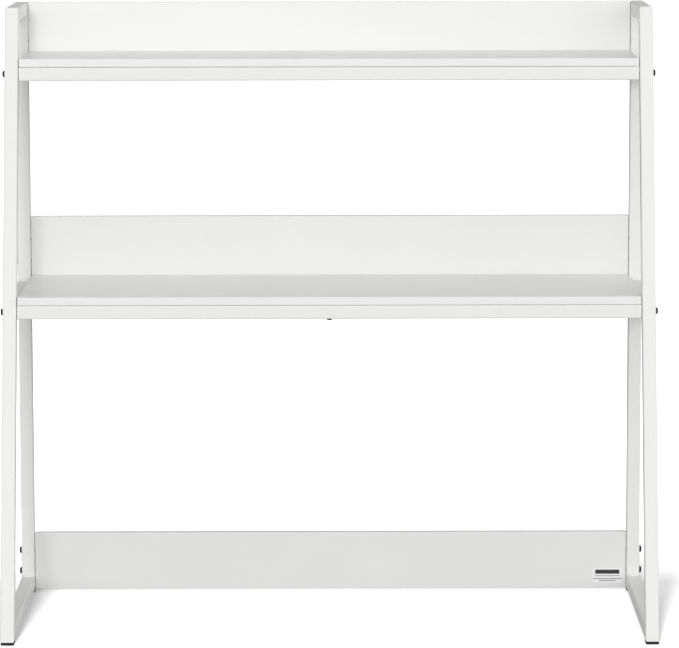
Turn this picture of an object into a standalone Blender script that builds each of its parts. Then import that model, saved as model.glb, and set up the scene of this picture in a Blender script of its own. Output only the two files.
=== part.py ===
"""Desk hutch: two welded tube side frames joined by front rails, shelf boards and back panels.

Metres, +Z up, +X to the right, -Y to the front. The origin lies on the desk surface at the
middle of the width and of the depth.
"""

import math

import bmesh
import bpy
from mathutils import Matrix, Vector

# Overall size
WIDTH = 0.950
BASE_DEPTH = 0.400
TOP_DEPTH = 0.183
HEIGHT = 0.906

# Square steel tube of the frames and rails
TUBE = 0.020
TUBE_WALL = 0.0012
TUBE_RADIUS = 0.002
CORNER_SEGMENTS = 3
WELD_GAP = 0.0003
RAIL_END_PLATE = 0.003
RAIL_END_GAP = 0.0008

# Foot pads
FRAME_BOTTOM = 0.004
PAD_HEIGHT = 0.0037
PAD_WIDTH = 0.019
PAD_LENGTH = 0.025
PAD_BEVEL = 0.0006

# Boards: shelves and back panels
BOARD = 0.012
BOARD_BEVEL = 0.0006
REST_GAP = 0.0003
SHELF_END_GAP = 0.001
SHELF_BACK_GAP = 0.0004
MID_SHELF_TOP = 0.491
TOP_SHELF_TOP = 0.832
SIDE_RAIL_TOP = 0.4825
PANEL_END_GAP = 0.0005
PANEL_HEIGHT = 0.088
MID_PANEL_HEIGHT = 0.104
MID_PANEL_TOP = 0.581

# Button-head bolts through the legs
BOLT_SHANK_RADIUS = 0.003
BOLT_HOLE_RADIUS = 0.0033
BOLT_HEAD_RADIUS = 0.00525
BOLT_HEAD_HEIGHT = 0.0033
BOLT_SOCKET_RADIUS = 0.0023
BOLT_SOCKET_DEPTH = 0.0019
RAIL_BOLT_LENGTH = 0.032
PANEL_BOLT_LENGTH = 0.052
PANEL_BOLT_OFFSET = 0.016
BOLT_BORE_DEPTH = 0.034
SEAT_GAP = 0.0003

# Barrel nuts inside the back panels
NUT_RADIUS = 0.0048
NUT_LENGTH = 0.0105
NUT_INSET = 0.022
NUT_BORE_RADIUS = 0.0051
NUT_BORE_DEPTH = 0.0111
NUT_SLOT_WIDTH = 0.0012
NUT_SLOT_DEPTH = 0.0010

# Wood screws that hold the shelves
SCREW_RADIUS = 0.002
SCREW_HOLE_RADIUS = 0.0023
SCREW_HEAD_RADIUS = 0.0042
SCREW_HEAD_HEIGHT = 0.0024
SCREW_TIP = 0.003
ACCESS_HOLE_RADIUS = 0.005
BACK_SCREW_LENGTH = 0.038
BACK_SCREW_X = 0.300
RAIL_SCREW_LENGTH = 0.0105
RAIL_SCREW_X = 0.250
CENTRE_SCREW_LENGTH = 0.029
SCREW_HOLE_DEPTH = 0.0100

# Blank label on the lower back panel
LABEL_WIDTH = 0.050
LABEL_HEIGHT = 0.027
LABEL_THICKNESS = 0.0002
LABEL_GAP = 0.0001
LABEL_X = 0.426
LABEL_Z = 0.0237

SIDES = (("left", -1), ("right", 1))
FRAME_X = (WIDTH - TUBE) / 2
INNER_X = WIDTH / 2 - TUBE
REAR_FACE_Y = BASE_DEPTH / 2
REAR_LEG_FRONT_Y = REAR_FACE_Y - TUBE
PANEL_Y = REAR_FACE_Y - TUBE / 2
PANEL_FRONT_Y = PANEL_Y - BOARD / 2
ROUND_SEGMENTS = 16
BORE_SEGMENTS = 12
TURN = math.pi / 2


def side_outline():
    """Outer corners of the side frame as (y, z), in order around the frame."""
    return {
        "front_bottom": Vector((-BASE_DEPTH / 2, FRAME_BOTTOM)),
        "rear_bottom": Vector((BASE_DEPTH / 2, FRAME_BOTTOM)),
        "rear_top": Vector((BASE_DEPTH / 2, HEIGHT)),
        "front_top": Vector((BASE_DEPTH / 2 - TOP_DEPTH, HEIGHT)),
    }


def front_face_y(height):
    """Y of the leaning front face of the front leg at a height."""
    outline = side_outline()
    low = outline["front_bottom"]
    high = outline["front_top"]
    share = (height - low.y) / (high.y - low.y)
    return low.x + share * (high.x - low.x)


def clear_scene():
    for obj in list(bpy.data.objects):
        bpy.data.objects.remove(obj, do_unlink=True)


def make_material(name, color, roughness, metallic):
    material = bpy.data.materials.new(name)
    material.use_nodes = True
    shader = material.node_tree.nodes["Principled BSDF"]
    shader.inputs["Base Color"].default_value = (*color, 1.0)
    shader.inputs["Roughness"].default_value = roughness
    shader.inputs["Metallic"].default_value = metallic
    material.diffuse_color = (*color, 1.0)
    return material


def new_mesh(name, verts, faces):
    mesh = bpy.data.meshes.new(name)
    mesh.from_pydata([tuple(v) for v in verts], [], faces)
    mesh.update()
    return mesh


def smooth_mesh(mesh, angle=math.radians(40)):
    mesh.shade_smooth()
    mesh.set_sharp_from_angle(angle=angle)
    return mesh


def rounded_square(size, radius):
    """Points of a rounded square around the origin, counter-clockwise."""
    points = []
    reach = size / 2 - radius
    for quarter, (sx, sy) in enumerate(((1, 1), (-1, 1), (-1, -1), (1, -1))):
        for step in range(CORNER_SEGMENTS + 1):
            angle = TURN * (quarter + step / CORNER_SEGMENTS)
            x = sx * reach + radius * math.cos(angle)
            y = sy * reach + radius * math.sin(angle)
            points.append((x, y))
    return points


def box_mesh(name, size, bevel=0.0):
    bm = bmesh.new()
    bmesh.ops.create_cube(bm, size=1.0)
    bmesh.ops.scale(bm, vec=Vector(size), verts=bm.verts)
    if bevel > 0:
        bmesh.ops.bevel(bm, geom=list(bm.edges), offset=bevel, segments=1, affect="EDGES")
    mesh = bpy.data.meshes.new(name)
    bm.to_mesh(mesh)
    bm.free()
    return mesh


def turned_mesh(name, profile, segments=ROUND_SEGMENTS):
    """Closed body turned about Z; the profile runs from the axis at the bottom to the axis at the top."""
    verts = []
    rings = []
    for radius, height in profile:
        if radius == 0:
            verts.append((0.0, 0.0, height))
            rings.append([len(verts) - 1])
            continue
        first = len(verts)
        for step in range(segments):
            angle = 2 * math.pi * step / segments
            verts.append((radius * math.cos(angle), radius * math.sin(angle), height))
        rings.append(list(range(first, first + segments)))
    faces = []
    for lower, upper in zip(rings, rings[1:]):
        for step in range(segments):
            after = (step + 1) % segments
            if len(lower) == 1:
                faces.append((lower[0], upper[after], upper[step]))
            elif len(upper) == 1:
                faces.append((lower[step], lower[after], upper[0]))
            else:
                faces.append((lower[step], lower[after], upper[after], upper[step]))
    return new_mesh(name, verts, faces)


def rod_cutter(radius, length, centre, turn=None, segments=BORE_SEGMENTS):
    """Cylinder mesh of a given length around a centre; turn is the axis it lies along."""
    bm = bmesh.new()
    bmesh.ops.create_cone(
        bm, cap_ends=True, segments=segments, radius1=radius, radius2=radius, depth=length
    )
    if turn == "X":
        bmesh.ops.rotate(bm, matrix=Matrix.Rotation(TURN, 3, "Y"), verts=bm.verts)
    if turn == "Y":
        bmesh.ops.rotate(bm, matrix=Matrix.Rotation(TURN, 3, "X"), verts=bm.verts)
    bmesh.ops.translate(bm, vec=Vector(centre), verts=bm.verts)
    mesh = bpy.data.meshes.new("cutter")
    bm.to_mesh(mesh)
    bm.free()
    return mesh


def box_cutter(size, centre):
    mesh = box_mesh("cutter", size)
    mesh.transform(Matrix.Translation(Vector(centre)))
    return mesh


def carved(mesh, cutters):
    """Mesh with every cutter taken out of it by an exact boolean."""
    body = bpy.data.objects.new("carved_body", mesh)
    bpy.context.scene.collection.objects.link(body)
    tools = []
    for cutter in cutters:
        tool = bpy.data.objects.new("carving_tool", cutter)
        bpy.context.scene.collection.objects.link(tool)
        modifier = body.modifiers.new("carve", "BOOLEAN")
        modifier.operation = "DIFFERENCE"
        modifier.solver = "EXACT"
        modifier.object = tool
        tools.append(tool)
    graph = bpy.context.evaluated_depsgraph_get()
    result = bpy.data.meshes.new_from_object(body.evaluated_get(graph))
    result.name = mesh.name
    for obj in [body, *tools]:
        bpy.data.objects.remove(obj, do_unlink=True)
    return result


def place(name, mesh, material, location, rotation=(0.0, 0.0, 0.0)):
    """Object that shows a mesh, parented to the hutch."""
    if not mesh.materials:
        mesh.materials.append(material)
    obj = bpy.data.objects.new(name, mesh)
    obj.location = location
    obj.rotation_euler = rotation
    obj.parent = bpy.data.objects["desk_hutch"]
    bpy.context.scene.collection.objects.link(obj)
    return obj


def tube_mesh(name, axis_point, direction, start_plane, end_plane):
    """Hollow square tube in the side plane, cut off by two planes given as (point, normal) in (y, z)."""
    along = direction.normalized()
    across = Vector((-along.y, along.x))
    outer = rounded_square(TUBE, TUBE_RADIUS)
    inner = rounded_square(TUBE - 2 * TUBE_WALL, TUBE_RADIUS - TUBE_WALL)
    count = len(outer)
    verts = []
    for plane_point, normal in (start_plane, end_plane):
        for loop in (outer, inner):
            for x, offset in loop:
                base = axis_point + across * offset
                travel = (plane_point - base).dot(normal) / along.dot(normal)
                spot = base + along * travel
                verts.append((x, spot.x, spot.y))
    faces = []
    for step in range(count):
        after = (step + 1) % count
        start_outer = (step, after)
        start_inner = (count + step, count + after)
        end_outer = (2 * count + step, 2 * count + after)
        end_inner = (3 * count + step, 3 * count + after)
        faces.append((start_outer[0], start_outer[1], end_outer[1], end_outer[0]))
        faces.append((start_inner[1], start_inner[0], end_inner[0], end_inner[1]))
        faces.append((start_outer[1], start_outer[0], start_inner[0], start_inner[1]))
        faces.append((end_outer[0], end_outer[1], end_inner[1], end_inner[0]))
    mesh = new_mesh(name, verts, faces)
    bm = bmesh.new()
    bm.from_mesh(mesh)
    bmesh.ops.recalc_face_normals(bm, faces=bm.faces)
    bm.to_mesh(mesh)
    bm.free()
    return mesh


def mitre_plane(corner, before, after, toward):
    """Plane halving a frame corner, set back by half the weld gap toward one of the tubes."""
    first = (before - corner).normalized()
    second = (after - corner).normalized()
    bisector = (first + second).normalized()
    normal = Vector((-bisector.y, bisector.x))
    if normal.dot(toward - corner) < 0:
        normal = -normal
    return corner + normal * WELD_GAP / 2, normal


def mitred_tube(name, start, end):
    """Tube along one side of the outline, mitred at both corners."""
    outline = side_outline()
    names = list(outline)
    here = names.index(start)
    before = outline[names[here - 1]]
    corner = outline[start]
    far = outline[end]
    beyond = outline[names[(here + 2) % len(names)]]
    direction = (far - corner).normalized()
    inward = Vector((-direction.y, direction.x))
    return tube_mesh(
        name,
        corner + inward * TUBE / 2,
        direction,
        mitre_plane(corner, before, far, far),
        mitre_plane(far, beyond, corner, corner),
    )


def leg_bores(positions):
    """Bolt bores through a leg, at (y, z) positions."""
    return [rod_cutter(BOLT_HOLE_RADIUS, 2 * TUBE, (0, y, z), "X") for y, z in positions]


def side_rail_mesh():
    """Short rail between the legs, its top a little below the top of the middle shelf."""
    outline = side_outline()
    lean = (outline["front_top"] - outline["front_bottom"]).normalized()
    into_frame = Vector((lean.y, -lean.x))
    leg_back = outline["front_bottom"] + into_frame * (TUBE + WELD_GAP)
    height = SIDE_RAIL_TOP - TUBE / 2
    return tube_mesh(
        "side_rail",
        Vector((0.0, height)),
        Vector((1.0, 0.0)),
        (leg_back, into_frame),
        (Vector((REAR_LEG_FRONT_Y - WELD_GAP, 0.0)), Vector((1.0, 0.0))),
    )


def rail_levels():
    """Name, shelf top height and front face position of each front rail."""
    levels = []
    for name, shelf_top in (("mid", MID_SHELF_TOP), ("top", TOP_SHELF_TOP)):
        rail_top = shelf_top - BOARD
        levels.append((name, shelf_top, front_face_y(rail_top)))
    return levels


def rail_centre(shelf_top, front_y):
    return front_y + TUBE / 2, shelf_top - BOARD - REST_GAP - TUBE / 2


def panel_levels():
    """Name, height and middle z of each back panel."""
    lower = FRAME_BOTTOM + PANEL_HEIGHT / 2
    middle = MID_PANEL_TOP - MID_PANEL_HEIGHT / 2
    top = HEIGHT - PANEL_HEIGHT / 2
    return [
        ("lower", PANEL_HEIGHT, lower),
        ("mid", MID_PANEL_HEIGHT, middle),
        ("top", PANEL_HEIGHT, top),
    ]


def panel_bolt_heights(middle):
    return [middle - PANEL_BOLT_OFFSET, middle + PANEL_BOLT_OFFSET]


def build_side_frames(steel):
    rail_bores = [rail_centre(shelf_top, front_y) for _, shelf_top, front_y in rail_levels()]
    panel_bores = []
    for _, _, middle in panel_levels():
        panel_bores += [(PANEL_Y, z) for z in panel_bolt_heights(middle)]
    meshes = {
        "front_leg": carved(mitred_tube("front_leg", "front_top", "front_bottom"), leg_bores(rail_bores)),
        "rear_leg": carved(mitred_tube("rear_leg", "rear_bottom", "rear_top"), leg_bores(panel_bores)),
        "top_tube": mitred_tube("top_tube", "rear_top", "front_top"),
        "floor_rail": mitred_tube("floor_rail", "front_bottom", "rear_bottom"),
        "side_rail": side_rail_mesh(),
    }
    for part, mesh in meshes.items():
        smooth_mesh(mesh)
        for side, sign in SIDES:
            place(f"{side}_{part}", mesh, steel, (sign * FRAME_X, 0, 0))


def front_rail_mesh(name, with_centre_screw):
    """Hollow rail along X with plated, bored ends and holes for the screws from below."""
    length = 2 * (INNER_X - RAIL_END_GAP)
    hollow = TUBE - 2 * TUBE_WALL
    outer = rounded_square(TUBE, TUBE_RADIUS)
    count = len(outer)
    verts = [(x, y, z) for x in (-length / 2, length / 2) for y, z in outer]
    faces = [tuple(range(count - 1, -1, -1)), tuple(range(count, 2 * count))]
    for step in range(count):
        after = (step + 1) % count
        faces.append((step, after, count + after, count + step))
    solid = new_mesh(name, verts, faces)
    cutters = [box_cutter((length - 2 * RAIL_END_PLATE, hollow, hollow), (0, 0, 0))]
    for sign in (-1, 1):
        end = sign * length / 2
        cutters.append(rod_cutter(BOLT_HOLE_RADIUS, 3 * RAIL_END_PLATE, (end, 0, 0), "X"))
        across = sign * RAIL_SCREW_X
        cutters.append(rod_cutter(SCREW_HOLE_RADIUS, TUBE / 2, (across, 0, TUBE / 2)))
        cutters.append(rod_cutter(ACCESS_HOLE_RADIUS, TUBE / 2, (across, 0, -TUBE / 2)))
    if with_centre_screw:
        cutters.append(rod_cutter(SCREW_HOLE_RADIUS, 2 * TUBE, (0, 0, 0)))
    return smooth_mesh(carved(solid, cutters))


def build_front_rails(steel):
    for name, shelf_top, front_y in rail_levels():
        y, z = rail_centre(shelf_top, front_y)
        mesh = front_rail_mesh(f"{name}_front_rail", name == "mid")
        place(f"{name}_front_rail", mesh, steel, (0, y, z))


def shelf_mesh(name, depth, rail_offset, with_centre_screw):
    """Shelf board with blind screw holes in its back edge and underside."""
    length = 2 * (INNER_X - SHELF_END_GAP)
    cutters = []
    back = depth / 2
    rail_screws = [-RAIL_SCREW_X, RAIL_SCREW_X]
    if with_centre_screw:
        rail_screws.append(0.0)
    for sign in (-1, 1):
        back_spot = (sign * BACK_SCREW_X, back, 0)
        cutters.append(rod_cutter(SCREW_HOLE_RADIUS, 2 * BACK_SCREW_LENGTH, back_spot, "Y"))
    for x in rail_screws:
        under_spot = (x, rail_offset, -BOARD / 2)
        cutters.append(rod_cutter(SCREW_HOLE_RADIUS, 2 * SCREW_HOLE_DEPTH, under_spot))
    return carved(box_mesh(name, (length, depth, BOARD), BOARD_BEVEL), cutters)


def build_shelves(laminate):
    for name, shelf_top, front_y in rail_levels():
        back_y = PANEL_FRONT_Y - SHELF_BACK_GAP
        depth = back_y - front_y
        middle_y = (front_y + back_y) / 2
        rail_y, _ = rail_centre(shelf_top, front_y)
        mesh = shelf_mesh(f"{name}_shelf", depth, rail_y - middle_y, name == "mid")
        place(f"{name}_shelf", mesh, laminate, (0, middle_y, shelf_top - BOARD / 2))


def panel_mesh(name, height, shelf_screw_z):
    """Back panel with end bores for the bolts, cross bores for the barrel nuts and screw holes."""
    length = 2 * (INNER_X - PANEL_END_GAP)
    cutters = []
    for sign in (-1, 1):
        for z in (-PANEL_BOLT_OFFSET, PANEL_BOLT_OFFSET):
            end = sign * length / 2
            bolt_mouth = (end, 0, z)
            nut_mouth = (sign * (INNER_X - NUT_INSET), BOARD / 2, z)
            cutters.append(
                rod_cutter(BOLT_HOLE_RADIUS, 2 * BOLT_BORE_DEPTH, bolt_mouth, "X", ROUND_SEGMENTS)
            )
            cutters.append(
                rod_cutter(NUT_BORE_RADIUS, 2 * NUT_BORE_DEPTH, nut_mouth, "Y", ROUND_SEGMENTS)
            )
        if shelf_screw_z is not None:
            screw_spot = (sign * BACK_SCREW_X, 0, shelf_screw_z)
            cutters.append(rod_cutter(SCREW_HOLE_RADIUS, 3 * BOARD, screw_spot, "Y"))
    return carved(box_mesh(name, (length, BOARD, height), BOARD_BEVEL), cutters)


def build_back_panels(laminate):
    shelf_of_panel = {"mid": MID_SHELF_TOP, "top": TOP_SHELF_TOP}
    for name, height, middle in panel_levels():
        screw_z = None
        if name in shelf_of_panel:
            screw_z = shelf_of_panel[name] - BOARD / 2 - middle
        mesh = panel_mesh(f"{name}_back_panel", height, screw_z)
        place(f"{name}_back_panel", mesh, laminate, (0, PANEL_Y, middle))


def build_foot_pads(rubber):
    mesh = box_mesh("foot_pad", (PAD_WIDTH, PAD_LENGTH, PAD_HEIGHT), PAD_BEVEL)
    for side, sign in SIDES:
        for end, y_sign in (("front", -1), ("rear", 1)):
            y = y_sign * (BASE_DEPTH - PAD_LENGTH) / 2
            place(f"{side}_{end}_foot_pad", mesh, rubber, (sign * FRAME_X, y, PAD_HEIGHT / 2))


def bolt_mesh(name, length):
    """Button-head bolt along Z with a hexagon socket; the seat under the head is at zero."""
    radius = BOLT_HEAD_RADIUS
    height = BOLT_HEAD_HEIGHT
    profile = [
        (0, -length),
        (BOLT_SHANK_RADIUS * 0.8, -length),
        (BOLT_SHANK_RADIUS, -length + 0.0006),
        (BOLT_SHANK_RADIUS, 0),
        (radius, 0),
        (radius, height * 0.25),
        (radius * 0.86, height * 0.70),
        (radius * 0.58, height),
        (0, height),
    ]
    socket = rod_cutter(BOLT_SOCKET_RADIUS, 2 * BOLT_SOCKET_DEPTH, (0, 0, height), segments=6)
    return smooth_mesh(carved(turned_mesh(name, profile), [socket]))


def outward_turn(sign):
    """Rotation that points local Z away from the hutch on one side."""
    return (0, sign * TURN, 0)


def build_rail_bolts(steel):
    mesh = bolt_mesh("rail_bolt", RAIL_BOLT_LENGTH)
    seat = WIDTH / 2 + SEAT_GAP
    for name, shelf_top, front_y in rail_levels():
        y, z = rail_centre(shelf_top, front_y)
        for side, sign in SIDES:
            place(f"{side}_{name}_rail_bolt", mesh, steel, (sign * seat, y, z), outward_turn(sign))


def build_panel_bolts(steel):
    mesh = bolt_mesh("panel_bolt", PANEL_BOLT_LENGTH)
    seat = WIDTH / 2 + SEAT_GAP
    for name, _, middle in panel_levels():
        for row, z in zip(("low", "high"), panel_bolt_heights(middle)):
            for side, sign in SIDES:
                place(
                    f"{side}_{name}_panel_bolt_{row}", mesh, steel,
                    (sign * seat, PANEL_Y, z), outward_turn(sign),
                )


def barrel_nut_mesh():
    """Slotted barrel nut along Z with a cross bore for the bolt."""
    body = turned_mesh(
        "barrel_nut",
        [(0, 0), (NUT_RADIUS, 0), (NUT_RADIUS, NUT_LENGTH), (0, NUT_LENGTH)],
    )
    bore_height = NUT_LENGTH - (BOARD / 2 - SEAT_GAP)
    cutters = [
        rod_cutter(BOLT_HOLE_RADIUS, 4 * NUT_RADIUS, (0, 0, bore_height), "X"),
        box_cutter((NUT_SLOT_WIDTH, 4 * NUT_RADIUS, 2 * NUT_SLOT_DEPTH), (0, 0, NUT_LENGTH)),
    ]
    return smooth_mesh(carved(body, cutters))


def build_barrel_nuts(zinc):
    mesh = barrel_nut_mesh()
    bottom = PANEL_Y + BOARD / 2 - SEAT_GAP - NUT_LENGTH
    for name, _, middle in panel_levels():
        for row, z in zip(("low", "high"), panel_bolt_heights(middle)):
            for side, sign in SIDES:
                x = sign * (INNER_X - NUT_INSET)
                place(f"{side}_{name}_barrel_nut_{row}", mesh, zinc, (x, bottom, z), (-TURN, 0, 0))


def screw_mesh(name, length):
    """Pan-head wood screw along Z; the seat under the head is at zero."""
    profile = [
        (0, -length),
        (SCREW_RADIUS, -length + SCREW_TIP),
        (SCREW_RADIUS, 0),
        (SCREW_HEAD_RADIUS, 0),
        (SCREW_HEAD_RADIUS, SCREW_HEAD_HEIGHT * 0.45),
        (SCREW_HEAD_RADIUS * 0.7, SCREW_HEAD_HEIGHT),
        (0, SCREW_HEAD_HEIGHT),
    ]
    return smooth_mesh(turned_mesh(name, profile, 12))


def build_screws(steel):
    back_screw = screw_mesh("back_screw", BACK_SCREW_LENGTH)
    rail_screw = screw_mesh("rail_screw", RAIL_SCREW_LENGTH)
    seat_y = PANEL_Y + BOARD / 2 + SEAT_GAP
    for name, shelf_top, front_y in rail_levels():
        y, z = rail_centre(shelf_top, front_y)
        seat_z = z + TUBE / 2 - TUBE_WALL - SEAT_GAP
        for side, sign in SIDES:
            back_spot = (sign * BACK_SCREW_X, seat_y, shelf_top - BOARD / 2)
            place(f"{side}_{name}_back_screw", back_screw, steel, back_spot, (-TURN, 0, 0))
            rail_spot = (sign * RAIL_SCREW_X, y, seat_z)
            place(f"{side}_{name}_rail_screw", rail_screw, steel, rail_spot, (2 * TURN, 0, 0))
    y, z = rail_centre(MID_SHELF_TOP, front_face_y(MID_SHELF_TOP - BOARD))
    centre_screw = screw_mesh("centre_screw", CENTRE_SCREW_LENGTH)
    centre_spot = (0, y, z - TUBE / 2 - SEAT_GAP)
    place("mid_rail_centre_screw", centre_screw, steel, centre_spot, (2 * TURN, 0, 0))


def build_label(paper):
    mesh = box_mesh("label", (LABEL_WIDTH, LABEL_THICKNESS, LABEL_HEIGHT))
    y = PANEL_FRONT_Y - LABEL_GAP - LABEL_THICKNESS / 2
    place("blank_label", mesh, paper, (LABEL_X, y, LABEL_Z))


def build_hutch():
    clear_scene()
    root = bpy.data.objects.new("desk_hutch", None)
    bpy.context.scene.collection.objects.link(root)
    white_steel = make_material("white_powder_coat", (0.80, 0.80, 0.79), 0.42, 0.0)
    laminate = make_material("white_laminate", (0.82, 0.82, 0.81), 0.38, 0.0)
    rubber = make_material("black_rubber", (0.015, 0.015, 0.016), 0.75, 0.0)
    black_steel = make_material("black_oxide_steel", (0.03, 0.03, 0.032), 0.38, 0.85)
    zinc = make_material("zinc_plated_steel", (0.62, 0.63, 0.65), 0.32, 1.0)
    paper = make_material("label_paper", (0.86, 0.86, 0.86), 0.5, 0.0)
    build_side_frames(white_steel)
    build_front_rails(white_steel)
    build_shelves(laminate)
    build_back_panels(laminate)
    build_foot_pads(rubber)
    build_rail_bolts(black_steel)
    build_panel_bolts(black_steel)
    build_barrel_nuts(zinc)
    build_screws(black_steel)
    build_label(paper)


build_hutch()
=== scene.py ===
import functools
import math

import bmesh
import bpy
from mathutils import Matrix, Vector


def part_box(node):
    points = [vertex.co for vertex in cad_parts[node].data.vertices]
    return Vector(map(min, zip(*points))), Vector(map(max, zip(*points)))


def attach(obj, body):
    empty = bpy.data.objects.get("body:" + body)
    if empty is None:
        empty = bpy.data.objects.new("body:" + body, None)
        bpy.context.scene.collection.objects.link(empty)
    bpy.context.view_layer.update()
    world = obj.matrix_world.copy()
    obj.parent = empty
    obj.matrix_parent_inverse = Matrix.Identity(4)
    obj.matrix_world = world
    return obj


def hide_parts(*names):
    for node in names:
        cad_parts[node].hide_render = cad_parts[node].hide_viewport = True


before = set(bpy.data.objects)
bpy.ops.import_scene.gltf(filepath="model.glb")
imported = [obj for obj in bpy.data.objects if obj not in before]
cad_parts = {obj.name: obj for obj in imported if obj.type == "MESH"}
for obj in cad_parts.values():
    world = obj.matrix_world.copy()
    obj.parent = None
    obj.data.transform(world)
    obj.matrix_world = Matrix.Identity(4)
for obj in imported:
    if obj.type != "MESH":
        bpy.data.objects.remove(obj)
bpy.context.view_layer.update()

TURN = math.pi / 2
SIDES = (("left", -1), ("right", 1))
SHELVES = ("mid", "top")
PANELS = ("lower", "mid", "top")
ROWS = ("low", "high")
SHARP_EDGE = math.radians(35)
WELD_SHARP_EDGE = math.radians(60)

# Square tube
TUBE_RADIUS = 0.0022
TUBE_WALL = 0.0012
CORNER_STEPS = 6
SEAM = 0.0002  # how far the tubes' ends are eased
END_PLATE = 0.003

# Weld beads in the inside corners of the side frames
BEAD_LEG = 0.0034
BEAD_BURY = 0.0004
BEAD_PITCH = 0.0012
BEAD_STEPS_PER_RIPPLE = 5
BEAD_ARC_STEPS = 8
BEAD_RIPPLE = 0.10  # share of the leg
BEAD_DRIFT = 0.04  # share of the leg
BEAD_HOLLOW = 1.3
BEAD_END = 0.25  # share of the leg at the very ends
BEAD_END_RISE = 5.0

# Boards
BOARD_CORNER = 0.0016
LEAST_CORNER = 0.0003
BAND_THICKNESS = 0.0011
BAND_ROUNDING = 0.0010
BAND_STEPS = 5
GLUE_LINE = 0.00006

# Bores, as radii
BOLT_BORE = 0.0033
SCREW_BORE = 0.0023
NUT_BORE = 0.0051
NUT_BORE_LIP = 0.0003
NUT_BORE_SPARE = 0.0003
ACCESS_BORE = 0.0050
ACCESS_BORE_LIP = 0.0004
TIP_SPARE = 0.001
BORE_STEPS = 28
BORE_TURN = 0.11  # keeps the facets of bores that cross from lining up
MARGIN = 0.002  # how far the cutters stand out

# Bolts
BOLT_SHANK = 0.0030
BOLT_PITCH = 0.0010
BOLT_THREAD = 0.016
BOLT_THREAD_DEPTH = 0.0005
BOLT_TOP_SHARE = 0.52
BOLT_RIM = 0.0008
BOLT_EASE = 0.0003
BOLT_DOME_STEPS = 8
SOCKET_ACROSS = 0.0040
SOCKET_DEPTH = 0.0020
SOCKET_CHAMFER = 0.0008
SEAT_GAP = 0.00005
BOLT_SPIN = 0.7  # radians from each bolt to the next

# Screws
SCREW_SHANK = 0.0020
SCREW_PITCH = 0.0016
SCREW_THREAD_DEPTH = 0.0007
SCREW_TIP = 0.0035
SCREW_HEAD = 0.0024
SCREW_RIM_SHARE = 0.40
SCREW_TOP_SHARE = 0.55
SCREW_DOME_STEPS = 6
SCREW_STEPS = 24
RECESS_DEPTH = 0.0014
RECESS_WIDTH = 0.0009
SCREW_SPIN = 0.5  # radians from each screw to the next

# Barrel nuts
NUT_EASE = 0.0004
NUT_SLOT_DEPTH = 0.0011
NUT_SLOT_WIDTH = 0.0012
NUT_STEPS = 40

# Turned bodies, and the decimals that repeated sizes are rounded to
TURNED_STEPS = 32
MICROMETRE = 6

# Foot pads: rings as (inset, height) near the floor and as (inset, share of the height) above
PAD_CORNER = 0.0025
PAD_LOW_RINGS = ((0.0006, 0.0), (0.0001, 0.0005), (0.0, 0.0010))
PAD_HIGH_RINGS = ((0.0002, 0.86), (0.0007, 1.0))
PAD_GROOVE_WIDTH = 0.0012
PAD_GROOVE_DEPTH = 0.0007
PAD_GROOVES = 5

# Label
LABEL_CORNER = 0.0015
LABEL_EASE = 0.00006


# ---------------------------------------------------------------- meshes


def finished_mesh(name, bm, angle=SHARP_EDGE):
    """Mesh of a bmesh, facing out, smooth but for its sharp edges."""
    bmesh.ops.recalc_face_normals(bm, faces=bm.faces)
    mesh = bpy.data.meshes.new(name)
    bm.to_mesh(mesh)
    bm.free()
    mesh.shade_smooth()
    mesh.set_sharp_from_angle(angle=angle)
    return mesh


def loft(name, rings, loop=False, materials=None):
    """Closed body through rings of points; it ends in caps, or runs back to its first ring."""
    bm = bmesh.new()
    rows = [[bm.verts.new(point) for point in ring] for ring in rings]
    count = len(rings[0])
    pairs = list(zip(rows, rows[1:]))
    if loop:
        pairs.append((rows[-1], rows[0]))
    for row, (here, there) in enumerate(pairs):
        for step in range(count):
            after = (step + 1) % count
            face = bm.faces.new((here[step], here[after], there[after], there[step]))
            if materials:
                face.material_index = materials[row]
    if not loop:
        bm.faces.new(list(reversed(rows[0])))
        bm.faces.new(rows[-1])
    return finished_mesh(name, bm)


def rounded_rectangle(width, height, radius, steps=CORNER_STEPS):
    """Points of a rounded rectangle around the origin, counter-clockwise."""
    points = []
    for quarter, (sx, sy) in enumerate(((1, 1), (-1, 1), (-1, -1), (1, -1))):
        for step in range(steps + 1):
            angle = TURN * (quarter + step / steps)
            x = sx * (width / 2 - radius) + radius * math.cos(angle)
            y = sy * (height / 2 - radius) + radius * math.sin(angle)
            points.append((x, y))
    return points


def turned(name, profile, steps=TURNED_STEPS, thread=None):
    """Closed body turned about Z from (radius, height) pairs that start and end off the axis.

    thread is (first height, last height, pitch, depth) of a helical thread cut into the body.
    """
    rings = []
    for radius, height in profile:
        ring = []
        for step in range(steps):
            turn = step / steps
            reach = radius
            if thread and thread[0] < height < thread[1]:
                reach -= thread_cut(height, turn, *thread)
            angle = 2 * math.pi * turn
            ring.append((reach * math.cos(angle), reach * math.sin(angle), height))
        rings.append(ring)
    return loft(name, rings)


def thread_cut(height, turn, first, last, pitch, depth):
    """How deep the thread is cut at a height and a share of a full turn."""
    phase = (height / pitch - turn) % 1.0
    run_out = min(1.0, (height - first) / pitch, (last - height) / pitch)
    return depth * abs(2 * phase - 1) * max(0.0, run_out)


def thread_rings(radius, first, last, pitch):
    """Profile pairs close enough together to carry a thread."""
    count = max(2, round((last - first) / pitch * 4))
    return [(radius, first + (last - first) * step / count) for step in range(count + 1)]


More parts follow.
